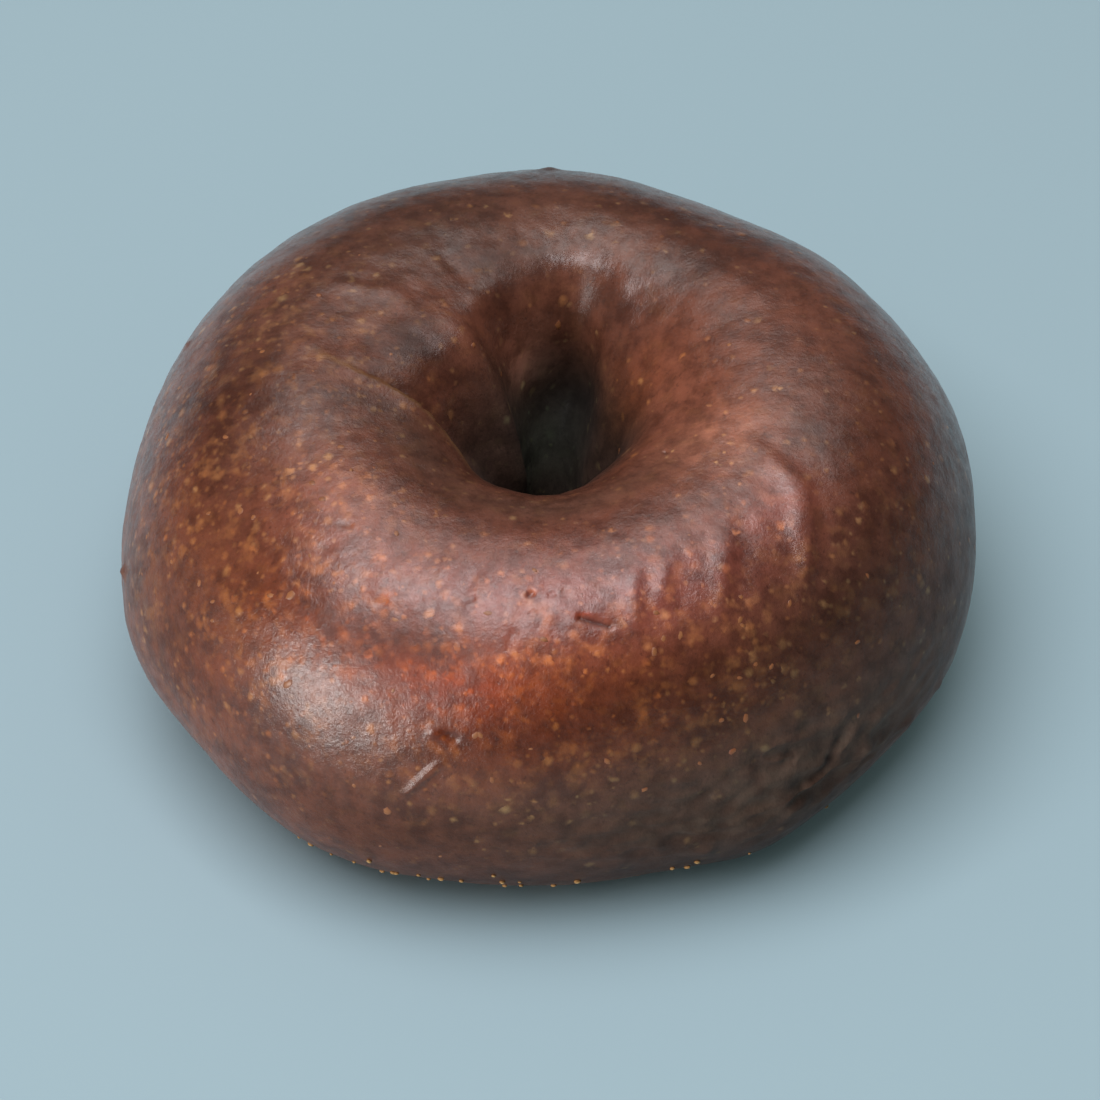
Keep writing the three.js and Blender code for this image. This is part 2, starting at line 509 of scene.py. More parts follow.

# Some rows are painted light: shade in the hole, under the fold and at the lower edge, and sheen on the
# crest.
# azimuth, section, along, across, tint, strength
TINTS_AND_PAINTED_LIGHT = [
    (-85, 75, 45, 18, PALER, 0.2),  # front crest
    (-85, 72, 45, 20, ROSIER, 0.8),
    (-125, 78, 20, 16, PALER, 0.2),  # left end of the crest highlight: paler, as painted sheen
    (-141, 90, 18, 12, PALER, 0.4),
    # left crest: darker and rustier
    (-170, 96, 10, 14, DARKER, 0.5),
    (-172, 88, 14, 14, RUSTIER, 0.5),
    (-127, 54, 12, 10, DARKER, 0.6),  # between the front highlights
    (-127, 54, 12, 10, RUSTIER, 0.7),
    (-112, 46, 9, 9, DARKER, 0.5),
    (-112, 46, 12, 9, RUSTIER, 0.9),
    (-111, 56, 8, 7, DARKER, 0.6),
    (-99, 47, 8, 7, PALER, 0.25),
    (-99, 47, 8, 7, RUSTIER, 0.4),
    (-97, 33, 10, 9, DARKER, 0.45),
    (-99, 36, 12, 9, RUSTIER, 0.6),
    (-106, 40, 18, 16, RUSTIER, 0.4),
    # paler at the left end of the crest highlight, as painted sheen
    (-143, 76, 12, 12, PALER, 0.3),
    (-120, 30, 14, 11, DARKER, 0.35),  # under the left highlight
    (-88, 28, 24, 9, DARKER, 0.4),
    (-122, 98, 18, 10, DARKER, 0.3),  # near lip, left
    (-40, 76, 16, 12, PALER, 0.2),  # right end of the crest
    (-38, 42, 16, 13, DARKER, 0.75),  # right flank
    (-53, 40, 13, 10, DARKER, 0.3),
    (-69, 43, 7, 6, DARKER, 0.3),
    (14, 72, 16, 14, PALER, 0.35),
    (8, 68, 20, 14, GREYER, 0.35),
    (-85, 112, 30, 8, PALER, 0.15),  # near lip
    (-28, 101, 18, 14, PALER, 1.3),  # right crest: paler and greyer, as painted sheen
    (-28, 101, 18, 14, GREYER, 0.6),
    (-9, 116, 30, 12, PALER, 0.15),  # right of the hole
    (-11, 68, 20, 16, DARKER, 0.35),  # right shoulder
    (-80, 38, 20, 9, DARKER, 0.55),  # front, under the crest
    (-58, 26, 20, 12, DARKER, 0.45),  # front right
    (-90, 5, 32, 18, DARKER, 0.3),  # low at the front
    (-105, -8, 30, 14, DARKER, 0.3),
    (-38, 74, 9, 9, PALER, 0.25),  # where the longest pleat leaves the crest
    (-38, 74, 9, 9, ROSIER, 0.3),
    (-36, 9, 10, 11, PALER, 0.55),  # low at the front right
    (-36, 9, 12, 12, GREYER, 0.4),
    (-67, 14, 14, 12, DARKER, 0.25),
    (-54, 19, 9, 9, GREYER, 0.4),
    (-66, -10, 20, 12, DARKER, 0.3),
    (-123, 0, 18, 14, DARKER, 0.2),  # low at the left
    (-101, -8, 22, 12, DARKER, 0.2),
    (-70, 12, 16, 12, GREYER, 0.6),  # front right
    (-145, 30, 25, 20, DARKER, 0.4),  # left
    (-159, 61, 18, 16, DARKER, 0.5),
    (100, 62, 60, 26, DARKER, 0.4),  # back
    (133, 100, 20, 20, DARKER, 0.4),  # back left crest
    (138, 104, 11, 8, PALER, 0.3),
    (123, 90, 14, 9, DARKER, 0.3),
    (112, 96, 14, 11, DARKER, 0.3),
    (46, 89, 9, 9, DARKER, 0.9),  # back right crest
    (-18, 72, 8, 8, DARKER, 0.25),  # right crest
    (-64, 93, 9, 7, DARKER, 0.45),  # front right crest
    (99, 73, 14, 9, PALER, 0.15),  # back
    (51, 72, 14, 9, DARKER, 0.2),
    (-176, 80, 13, 14, DARKER, 0.65),  # left crest
    (180, 56, 10, 13, DARKER, 0.6),
    (102, 106, 14, 8, DARKER, 0.7),  # back of the hole: darker, as painted shade
    (108, 121, 12, 7, DARKER, 0.5),
    (96, 140, 20, 13, PALER, 2.8),  # back wall of the hole: paler and greyer, as painted light against the hole's painted shade
    (103, 144, 7, 10, PALER, 0.8),
    (75, 176, 30, 12, PALER, 0.5),
    (90, 134, 16, 12, GREYER, 1.0),
    (160, 158, 22, 10, PALER, 1.2),  # deep in the hole: paler and greyer, lessening the hole's painted shade
    (102, 172, 28, 16, PALER, 0.6),
    (102, 172, 28, 16, GREYER, 0.7),
    (158, 118, 14, 11, DARKER, 0.6),  # left of the hole: darker, as painted shade
    (161, 121, 9, 8, DARKER, 1.0),
    (48, 106, 18, 12, DARKER, 0.3),  # right of the hole: darker as painted shade, and rustier
    (110, 121, 10, 7, DARKER, 0.2),
    (58, 118, 15, 9, DARKER, 0.65),
    (48, 129, 12, 8, DARKER, 0.3),
    (20, 142, 20, 12, RUSTIER, 0.8),
    (34, 136, 22, 12, DARKER, 0.3),
    (34, 136, 22, 12, RUSTIER, 0.45),
    (0, 30, 35, 25, DARKER, 0.3),  # right side
    (-150, 118, 26, 10, DARKER, 0.55),  # below the fold: darker, as painted shade in its hollow
    (-65, -28, 50, 14, DARKER, 0.5),  # lower edge: darker, as painted shade where the bread turns under towards the table
    (-58, -33, 26, 12, DARKER, 1.2),
    (-100, -31, 34, 10, DARKER, 0.6),
    (-90, 112, 50, 10, GREYER, 1.0),  # near lip
    (-150, 118, 26, 10, GREYER, 0.8),  # below the fold
    (-102, 43, 34, 16, RUSTIER, 1.4),  # front
    (-90, 28, 30, 10, RUSTIER, 0.5),
    (-145, 35, 32, 30, RUSTIER, 0.45),  # left
    (-145, 42, 14, 14, GREYER, 0.25),
    (-118, 8, 30, 18, RUSTIER, 0.1),
    (-55, 0, 22, 18, DARKER, 0.2),  # low at the front right
    (-88, 4, 18, 12, GREYER, 0.4),  # low at the front
    (-158, 18, 10, 14, GREYER, 0.5),  # left
    (166, 72, 12, 14, GREYER, 0.3),
    (-143, 25, 12, 12, RUSTIER, 0.4),
    (-110, -8, 30, 16, RUSTIER, 0.15),
    (-75, 0, 40, 20, GREYER, 0.7),  # low at the front
    (-60, -25, 30, 14, GREYER, 1.0),
    (-33, 26, 28, 25, GREYER, 1.4),  # front right
    (110, 80, 60, 30, GREYER, 0.8),  # back
    (76, 160, 14, 30, DARKER, 1.2),  # cleft in the hole: darker and greyer, as painted shade
    (76, 160, 18, 30, GREYER, 1.0),
    (120, 160, 22, 20, PALER, 0.3),  # left wall of the hole: paler and greyer, lessening the hole's painted shade, and greener deep down as the colour of that shade
    (120, 160, 30, 30, GREYER, 0.5),
    (100, 172, 40, 18, GREENER, 0.8),
    (-82.8, 65.6, 1.5, 0.9, RUSTIER, 1.0),  # crumb bared above the slit
    (-82.8, 65.6, 1.5, 0.9, PALER, 0.6),
    # darker beside the slit, as a painted shadow
    (-77.4, 61.4, 1.8, 1.5, DARKER, 0.6),
    (-118, 66, 1.5, 7, RUSTIER, 0.8),  # stain
]
# Painted shade inside the hole, as doublings of red, green and blue
HOLE_PAINTED_SHADE = (-1.7, -0.9, -0.5)
HOLE_BEGINS = (124, 156)  # sections in which the hole's painted shade, thinner glaze and rougher crust come in, and in which they go out
HOLE_ENDS = (215, 240)

# Where the glaze is thin: azimuth, section, along, across, share of the gloss lost
DULLER = [
    (-70, -5, 60, 30, 0.8),  # low at the front
    (-45, 15, 30, 30, 0.5),  # front right
    (180, 0, 60, 28, 0.6),  # low at the left
    (60, 0, 60, 28, 0.5),  # low at the back
    (-14, 22, 25, 20, 0.5),  # right side
    (-8, 72, 16, 20, 0.4),  # right shoulder
    (-150, 120, 26, 12, 0.5),  # below the fold
    (139, 112, 18, 16, 0.35),  # back left of the hole
    (104, 104, 15, 8, 0.8),  # back, left of its highlight
    (178, 98, 26, 16, 0.55),  # left of the fold
    (158, 115, 16, 11, 0.6),
    (76, 114, 8, 9, 0.9),  # beside the cleft
    (-114, 46, 14, 8, 0.35),  # between the front highlights
    (-112, 55, 10, 7, 0.5),
    (-80.0, 63.0, 3.0, 1.8, 0.7),  # round the slit
    (-85, 30, 14, 14, 0.3),  # front
    (-145, 22, 12, 14, 0.5),  # left flank
    (-101, -8, 25, 14, 0.4),
    (-80, -30, 60, 14, 0.6),  # lower edge
]

# Where it is thickest, and how much glossier and rougher with orange peel the crust is there
GLOSSIEST = (-124, 30, 20, 20)
GLOSSIEST_SHARE = 0.3
GLOSSIEST_PEEL = 0.1
ROUGH_LOSES_GLOSS = 0.8
LEAST_GLOSS = 0.05
MOST_GLOSS = 1.3

# Where the fine orange peel is faint: azimuth, section, along, across, share of it lost
FAINT_PEEL = [
    (100, 80, 75, 45, 0.5),  # back
    (-80, 75, 45, 18, 0.2),  # front crest
]

# azimuth, section, along, across, share of flecks
FLECKED = [
    (-100, 45, 45, 35, 0.9),
    (-160, 50, 35, 35, 0.85),
    (-68, 46, 20, 24, 0.8),
    (-30, 50, 25, 30, 0.2),
    (175, 90, 40, 35, 0.45),
    (60, 30, 60, 40, 0.25),
]
FLECKED_ALL_OVER = 0.16
ROUGH_LOSES_FLECKS = 0.9

SCATTERED_SECTIONS = (-75, 165)
LARGEST_RADIUS = 60  # more than the bread's

# Scattered bran. Lengths, widths and heights are half measures.
BRAN_COUNT = 80
BRAN_MIDDLE_LENGTH = 0.40
BRAN_LENGTH_SPREAD = 0.35
BRAN_LENGTHS = (0.2, 0.75)
BRAN_WIDTHS = (0.55, 0.9)  # as shares of the length
BRAN_HEIGHTS = (0.20, 0.28)
BRAN_SCALE = 1.3
BRAN_LIFT = -0.72  # how far the middle lies above the crust, as a share of the height

# Flecks that stand out: azimuth, section, half length
LARGE_FLECKS = [
    (-81, 22, 0.55),
    (-76, 11, 0.45),
    (-63, 17, 0.5),
    (-44, 11, 0.5),
    (-41, 31, 0.5),
    (-64, 27, 0.4),
    (-72, 51, 0.55),
    (-70, 54, 0.45),
    (-60, 37, 0.4),
    (-57, 39, 0.4),
    (-68, 16, 0.35),
    (-99, 32, 0.6),
    (-90, 59, 0.5),
    (-70, 62, 0.4),
    (-64, 40, 0.4),
    (-55, 58, 0.4),
    (-156, 52, 0.45),
    (-152, 60, 0.55),
    (-149, 62, 0.4),
    (-147, 80, 0.45),
    (-142, 79, 0.55),
    (173, 75, 0.4),
    (-145, 91, 0.35),
    (-124, 84, 0.5),
    (154, 84, 0.4),
    (121, 138, 0.6),  # in the hole
    (84, 123.5, 0.6),
]

# Azimuths of the semolina grains that show along the front's lower edge
SEMOLINA_SEEN = [-117.5, -112, -108, -105, -102, -96, -93.5, -85]
SEMOLINA_SEEN_SECTIONS = (-35, -29)

# Semolina scattered by chance
SEMOLINA_FRONT = (-130, -90)  # azimuths of more at the front
SEMOLINA_FRONT_COUNT = 8
SEMOLINA_COUNT = 30  # all round
SEMOLINA_MIDDLE_SECTION = -34
SEMOLINA_SECTION_SPREAD = 6
SEMOLINA_SECTIONS = (-46, -12)
SEMOLINA_LENGTHS = (0.22, 0.46)
SEMOLINA_WIDTHS = (0.65, 0.95)  # as shares of the length
SEMOLINA_HEIGHTS = (0.4, 0.65)
SEMOLINA_LIFT = 0.35

GRAIN_UNEVENNESS = 0.12  # of bran and semolina alike
GRAIN_TOP_FROM = 0.6  # share of a grain's height from which its own colour comes in


def inside_hole(section):
    turned = section % 360
    return smooth_step(*HOLE_BEGINS, turned) * (1 - smooth_step(*HOLE_ENDS, turned))


def tint_and_painted_light(azimuth, section):
    """Red, green and blue multipliers of the crust's colour: its tones, with painted shade and light in the
    hole, at the lower edge and under the fold, and painted sheen on the crest.
    """
    doublings = inside_hole(section)[:, None] * HOLE_PAINTED_SHADE
    for *window, colour, strength in TINTS_AND_PAINTED_LIGHT:
        doublings = doublings + strength * patch(azimuth, section, *window)[:, None] * colour
    return 2**doublings


def gloss(azimuth, section):
    """How thick the glaze is, from nearly 0 to more than 1 where it is thickest."""
    lost = total_of(DULLER, azimuth, section) - GLOSSIEST_SHARE * patch(azimuth, section, *GLOSSIEST)
    lost = lost + inside_hole(section) + ROUGH_LOSES_GLOSS * rough_share(azimuth, section)
    return np.clip(1 - lost, LEAST_GLOSS, MOST_GLOSS)


def peel_share(azimuth, section):
    """How strong the fine orange peel is."""
    stronger = GLOSSIEST_PEEL * patch(azimuth, section, *GLOSSIEST)
    return 1 - total_of(FAINT_PEEL, azimuth, section) + stronger


def flecked(azimuth, section):
    """How thick the flecks are, from 0 to 1."""
    total = FLECKED_ALL_OVER + total_of(FLECKED, azimuth, section)
    return np.clip(total * (1 - ROUGH_LOSES_FLECKS * rough_share(azimuth, section)), 0, 1)


# Meshes


def ring_layout():
    """A section angle and a vertex count for each ring of vertices, so that the cells come out even."""
    section = np.linspace(-90, 270, 3601)
    spokes = [bread(np.full(len(section), float(azimuth)), section) for azimuth in range(0, 360, 30)]
    radius = np.mean([np.hypot(spoke[:, 0], spoke[:, 1]) for spoke in spokes], axis=0)
    level = np.mean([spoke[:, 2] for spoke in spokes], axis=0)
    turned = section % 360
    coarse = smooth_step(COARSE_FROM - COARSE_BLEND, COARSE_FROM, turned)
    coarse = coarse * (1 - smooth_step(COARSE_TO, COARSE_TO + COARSE_BLEND, turned))
    cell = FINE_CELL + (BASE_CELL - FINE_CELL) * coarse
    arc = np.hypot(np.diff(radius), np.diff(level))
    rows = np.concatenate([[0], np.cumsum(arc / (0.866 * cell[1:]))])
    row_count = int(round(rows[-1]))
    wanted = np.arange(row_count) * rows[-1] / row_count
    ring_sections = np.interp(wanted, rows, section)
    counts = 2 * np.pi * np.interp(wanted, rows, radius) / np.interp(wanted, rows, cell)
    return ring_sections, np.round(counts).astype(int)


def triangles_between(count_a, count_b, start_a, start_b):
    """Triangles that join two closed rings of different vertex counts, facing outwards."""
    steps = np.concatenate([(np.arange(count_a) + 1) / count_a, (np.arange(count_b) + 1) / count_b])
    on_a = np.arange(count_a + count_b) < count_a
    on_a = on_a[np.argsort(steps, kind="stable")]
    a = np.cumsum(on_a) - on_a
    b = np.cumsum(~on_a) - ~on_a
    third = np.where(on_a, (a + 1) % count_a + start_a, (b + 1) % count_b + start_b)
    return np.stack([a % count_a + start_a, third, b % count_b + start_b], 1)


def halve(azimuth, section, triangles, chosen):
    """Halve the edges of the chosen triangles, and split the triangles that share them to fit."""
    count = len(azimuth)
    edges = np.sort(np.stack([triangles, np.roll(triangles, -1, axis=1)], -1), axis=-1)
    keys = edges[..., 0] * count + edges[..., 1]
    halved = np.unique(keys[chosen])
    first, second = halved // count, halved % count
    azimuth = np.append(azimuth, azimuth[second] + angle_between(azimuth[first], azimuth[second]) / 2)
    section = np.append(section, section[second] + angle_between(section[first], section[second]) / 2)
    found = np.searchsorted(halved, keys).clip(0, len(halved) - 1)
    hit = halved[found] == keys
    number = hit.sum(1)
    turn = np.where(number == 2, np.argmin(hit, axis=1) + 1, np.argmax(hit, axis=1))
    order = (turn[:, None] + np.arange(3)) % 3
    a, b, c = np.take_along_axis(triangles, order, axis=1).T
    ab, bc, ca = np.take_along_axis(found + count, order, axis=1).T
    pieces = [triangles[number == 0]]
    for hits, corners in (
        (1, [(a, ab, c), (ab, b, c)]),
        (2, [(ab, b, bc), (a, ab, bc), (a, bc, c)]),
        (3, [(a, ab, ca), (ab, b, bc), (ca, bc, c), (ab, bc, ca)]),
    ):
        pieces += [np.stack(corner, 1)[number == hits] for corner in corners]
    return azimuth, section, np.concatenate(pieces)


def near_marks(azimuth, section, triangles, reach):
    """Which triangles lie within reach of a slit or of the thin ridge."""
    middles = bread(azimuth, section)[triangles].mean(1)
    near = np.zeros(len(triangles), bool)
    for places, width, _ in SLITS + [GLINT_RIDGE]:
        line = route(places, 4)
        box = (line.min(0) - width - reach, line.max(0) + width + reach)
        inside = np.nonzero(((middles > box[0]) & (middles < box[1])).all(1))[0]
        near[inside] |= distance_to(middles[inside], line)[0] < width + reach
    return near


def make_mesh(name, points, triangles):
    """A smooth-shaded object from points in millimetres round the hole's axis."""
    mesh = bpy.data.meshes.new(name)
    mesh.vertices.add(len(points))
    mesh.vertices.foreach_set("co", ((points + HOLE_AXIS) * MM).astype(np.float32).ravel())
    mesh.loops.add(3 * len(triangles))
    mesh.loops.foreach_set("vertex_index", triangles.astype(np.int32).ravel())
    mesh.polygons.add(len(triangles))
    mesh.polygons.foreach_set("loop_start", np.arange(0, 3 * len(triangles), 3, dtype=np.int32))
    mesh.polygons.foreach_set("use_smooth", np.ones(len(triangles), bool))
    mesh.update(calc_edges=True)
    mesh.validate()
    made = bpy.data.objects.new(name, mesh)
    bpy.context.scene.collection.objects.link(made)
    return made


def add_attribute(made, name, values):
    attribute = made.data.attributes.new(name, "FLOAT", "POINT")
    attribute.data.foreach_set("value", np.asarray(values, np.float32))


def add_vectors(made, name, values):
    attribute = made.data.attributes.new(name, "FLOAT_VECTOR", "POINT")
    attribute.data.foreach_set("vector", np.asarray(values, np.float32).ravel())


def make_crust():
    ring_sections, counts = ring_layout()
    starts = np.concatenate([[0], np.cumsum(counts)])
    azimuth = np.concatenate([360 * np.arange(count) / count for count in counts])
    section = np.repeat(ring_sections, counts)
    triangles = []
    for ring in range(len(counts)):
        after = (ring + 1) % len(counts)
        triangles.append(triangles_between(counts[ring], counts[after], starts[ring], starts[after]))
    triangles = np.concatenate(triangles)
    for reach in MARK_REACHES:
        azimuth, section, triangles = halve(
            azimuth, section, triangles, near_marks(azimuth, section, triangles, reach)
        )
    smooth = bread(azimuth, section)
    height = relief(smooth, azimuth, section)
    points = smooth + outward(azimuth, section) * height[:, None]
    points[:, 2] = np.maximum(points[:, 2], 0)
    crust = make_mesh("crust", points, triangles)
    side, seen = fold_side(azimuth, section)
    add_attribute(crust, "rough", rough_share(azimuth, section))
    # painted highlight along the fold's edge, where the edge catches light
    add_attribute(crust, "fold_edge_highlight", seen * bell((side + FOLD_HIGHLIGHT_OFFSET) / FOLD_HIGHLIGHT_WIDTH))
    # painted shade in slits, pits and grooves, from their depth
    add_attribute(crust, "pit_shade", smooth_step(*PIT_SHADE_DEPTHS, -lines_relief(smooth)))
    add_attribute(crust, "gloss", gloss(azimuth, section))
    add_attribute(crust, "deep", inside_hole(section))
    add_attribute(crust, "peel", peel_share(azimuth, section))
    add_attribute(crust, "flecked", flecked(azimuth, section))
    add_vectors(crust, "tint_and_painted_light", tint_and_painted_light(azimuth, section))
    add_vectors(crust, "grain", grain_places(azimuth, section) * MM)
    return crust


def scatter(count, density, draw):
    """Random places on the ring, as many as count, the denser where density is nearer to 1."""
    found = []
    total = 0
    while total < count:
        azimuth = draw.uniform(-180, 180, 4 * count)
        section = draw.uniform(*SCATTERED_SECTIONS, 4 * count)
        radius = np.hypot(*bread(azimuth, section)[:, :2].T)
        kept = draw.uniform(0, LARGEST_RADIUS, 4 * count) < radius * density(azimuth, section)
        found.append(np.stack([azimuth[kept], section[kept]], 1))
        total += kept.sum()
    places = np.concatenate(found)[:count]
    return places[:, 0], places[:, 1]


def make_grains(name, azimuth, section, sizes, draw, lift):
    """Uneven low lumps on the crust. Sizes are half lengths, half widths and half heights."""
    unit = bmesh.new()
    bmesh.ops.create_icosphere(unit, subdivisions=2, radius=1.0)
    ball = np.array([vertex.co[:] for vertex in unit.verts])
    faces = np.array([[vertex.index for vertex in face.verts] for face in unit.faces])
    unit.free()
    smooth = bread(azimuth, section)
    normal = outward(azimuth, section)
    centre = smooth + normal * (relief(smooth, azimuth, section) + lift * sizes[:, 2])[:, None]
    along = np.cross(normal, (0.0, 0.0, 1.0))
    along = along / np.linalg.norm(along, axis=1, keepdims=True)
    across = np.cross(normal, along)
    turn = draw.uniform(0, math.pi, len(azimuth))[:, None]
    first = np.cos(turn) * along + np.sin(turn) * across
    second = np.cross(normal, first)
    uneven = draw.uniform(1 - GRAIN_UNEVENNESS, 1 + GRAIN_UNEVENNESS, (len(azimuth), len(ball), 1))
    lumps = ball[None] * uneven * sizes[:, None, :]
    points = centre[:, None] + lumps[..., :1] * first[:, None] + lumps[..., 1:2] * second[:, None]
    points = points + lumps[..., 2:] * normal[:, None]
    points[..., 2] = np.maximum(points[..., 2], 0)
    triangles = (np.arange(len(azimuth))[:, None, None] * len(ball) + faces[None]).reshape(-1, 3)
    grains = make_mesh(name, points.reshape(-1, 3), triangles)
    add_attribute(grains, "shade", np.repeat(draw.uniform(0, 1, len(azimuth)), len(ball)))
    add_attribute(grains, "top", np.tile(smooth_step(GRAIN_TOP_FROM, 1.0, ball[:, 2]), len(azimuth)))
    return grains


def measures(draw, length, widths, heights):
    """Half lengths, widths and heights, the last two drawn as shares of the length."""
    width = length * draw.uniform(*widths, len(length))
    height = length * draw.uniform(*heights, len(length))
    return np.stack([length, width, height], 1)


def make_bran(draw):
    """Flecks of bran and crumb, half baked into the crust."""
    azimuth, section = scatter(BRAN_COUNT, flecked, draw)
    azimuth = np.concatenate([azimuth, [place[0] for place in LARGE_FLECKS]])
    section = np.concatenate([section, [place[1] for place in LARGE_FLECKS]])
    length = draw.lognormal(math.log(BRAN_MIDDLE_LENGTH), BRAN_LENGTH_SPREAD, len(azimuth))
    length = length.clip(*BRAN_LENGTHS)
    length[BRAN_COUNT:] = [place[2] for place in LARGE_FLECKS]
    sizes = BRAN_SCALE * measures(draw, length, BRAN_WIDTHS, BRAN_HEIGHTS)
    return make_grains("bran", azimuth, section, sizes, draw, BRAN_LIFT)


def make_semolina(draw):
    """Semolina that stuck where the bread turns under."""
    front = draw.uniform(*SEMOLINA_FRONT, SEMOLINA_FRONT_COUNT)
    azimuth = np.concatenate([front, draw.uniform(-180, 180, SEMOLINA_COUNT)])
    section = draw.normal(SEMOLINA_MIDDLE_SECTION, SEMOLINA_SECTION_SPREAD, len(azimuth))
    section = section.clip(*SEMOLINA_SECTIONS)
    azimuth = np.concatenate([azimuth, SEMOLINA_SEEN])
    seen = draw.uniform(*SEMOLINA_SEEN_SECTIONS, len(SEMOLINA_SEEN))
    section = np.concatenate([section, seen])
    length = draw.uniform(*SEMOLINA_LENGTHS, len(azimuth))
    sizes = measures(draw, length, SEMOLINA_WIDTHS, SEMOLINA_HEIGHTS)
    return make_grains("semolina", azimuth, section, sizes, draw, SEMOLINA_LIFT)


# Materials

# Colours, as red, green, blue and opacity
DARK_CRUST = (0.084, 0.0255, 0.014, 1)
PALE_CRUST = (0.168, 0.054, 0.030, 1)
PORE = (0.035, 0.010, 0.006, 1)
# painted shade at the bottom of slits and pits
PIT_SHADE = (0.03, 0.010, 0.006, 1)
FLECK_HAZE = (0.34, 0.135, 0.050, 1)
RED_FLECK = (0.42, 0.145, 0.048, 1)
YELLOW_FLECK = (0.45, 0.23, 0.095, 1)
# painted highlight along the fold's edge
FOLD_EDGE_HIGHLIGHT = (0.25, 0.115, 0.045, 1)
DARK_CRUMB = (0.072, 0.039, 0.025, 1)
PALE_CRUMB = (0.135, 0.077, 0.049, 1)
FLOOR_COLOUR = (0.352, 0.478, 0.548, 1)

# Grains' colours at the foot, and at the top where they are dull and bright
BRAN_COLOURS = [(0.15, 0.048, 0.022, 1), (0.19, 0.068, 0.026, 1), (0.29, 0.118, 0.043, 1)]
BRAN_GLAZE = 0.4
SEMOLINA_COLOURS = [(0.30, 0.15, 0.05, 1), (0.42, 0.24, 0.08, 1), (0.66, 0.42, 0.17, 1)]
SEMOLINA_GLAZE = 0.0

# Three sizes of soft fleck: spacing, smallest and largest radius as shares of it, strength
FLECKS = [(1.0, (0.3, 0.6), 0.5), (1.7, (0.28, 0.6), 0.75), (3.4, (0.14, 0.28), 1.0)]
FLECK_WANDER_SIZE = 0.9  # how their outlines wander
FLECK_WANDER = 0.5  # as a share of the spacing

# Roughness of the crust under the glaze
SMOOTHEST = 0.36
ROUGHEST = 0.50
ROUGHNESS_IF_ROUGH = 0.85
ROUGHNESS_IN_HOLE = 0.95

BREAD_IOR = 1.45
SPECULAR = 0.25  # of all materials
GLAZE_ROUGHNESS = 0.24
THIN_GLAZE = 0.65  # the glaze's mottle
THICK_GLAZE = 1.25
BUMP_DEPTH = 0.11  # height of the bump's texture
BUMP_STRENGTH = 0.7

GRAIN_ROUGHNESS = 0.5
GRAIN_GLAZE_ROUGHNESS = 0.28
GRAIN_BUMP_DEPTH = 0.05
GRAIN_BUMP_STRENGTH = 0.5

FLOOR_ROUGHNESS = 0.75
FLOOR_REACH = 3.0  # metres


def new_material(name):
    material = bpy.data.materials.new(name)
    material.use_nodes = True
    material.node_tree.nodes.clear()
    return material


def add_node(material, kind, inputs=None, **settings):
    """A node whose inputs, named or numbered, are linked from sockets or set to values."""
    node = material.node_tree.nodes.new(kind)
    for name, value in settings.items():
        setattr(node, name, value)
    for name, value in (inputs or {}).items():
        if isinstance(value, bpy.types.NodeSocket):
            material.node_tree.links.new(value, node.inputs[name])
        else:
            node.inputs[name].default_value = value
    return node


def noise_node(material, place, size, detail=2.0, roughness=0.5, distortion=0.0):
    inputs = {
        "Vector": place,
        "Scale": 1 / (size * MM),
        "Detail": detail,
        "Roughness": roughness,
        "Distortion": distortion,
    }
    return add_node(material, "ShaderNodeTexNoise", inputs).outputs["Fac"]


def range_node(material, value, low, high, to_low=0.0, to_high=1.0, kind="SMOOTHSTEP"):
    inputs = {"Value": value, "From Min": low, "From Max": high, "To Min": to_low, "To Max": to_high}
    return add_node(material, "ShaderNodeMapRange", inputs, interpolation_type=kind).outputs["Result"]


def mix_node(material, share, first, second, blend="MIX"):
    inputs = {0: share, 6: first, 7: second}
    node = add_node(material, "ShaderNodeMix", inputs, data_type="RGBA", blend_type=blend)
    return node.outputs[2]


def math_node(material, operation, first, second):
    inputs = {0: first, 1: second}
    return add_node(material, "ShaderNodeMath", inputs, operation=operation).outputs[0]


def vector_node(material, operation, first, second):
    key = "Scale" if operation == "SCALE" else 1
    return add_node(material, "ShaderNodeVectorMath", {0: first, key: second}, operation=operation).outputs[0]


def scaled(material, value, factor):
    return math_node(material, "MULTIPLY", value, factor)


def weighted_sum(material, parts):
    total = 0.0
    for value, weight in parts:
        total = math_node(material, "ADD", scaled(material, value, weight), total)
    return total


def mix_value(material, share, first, second):
    node = add_node(material, "ShaderNodeMix", {0: share, 2: first, 3: second}, data_type="FLOAT")
    return node.outputs[0]


def islands(material, place, size, low, high):
    """Uneven islands, 1 inside, where noise passes from low to high."""
    return range_node(material, noise_node(material, place, size, 2.0, 0.6, 0.4), low, high)


def attribute(material, name, kind="Fac"):
    return add_node(material, "ShaderNodeAttribute", attribute_name=name).outputs[kind]


def bump_node(material, height, strength, depth):
    inputs = {"Height": height, "Strength": strength, "Distance": depth * MM}
    return add_node(material, "ShaderNodeBump", inputs).outputs["Normal"]


def with_shader(material, inputs):
    shader = add_node(material, "ShaderNodeBsdfPrincipled", inputs)
    add_node(material, "ShaderNodeOutputMaterial", {"Surface": shader.outputs[0]})
    return material


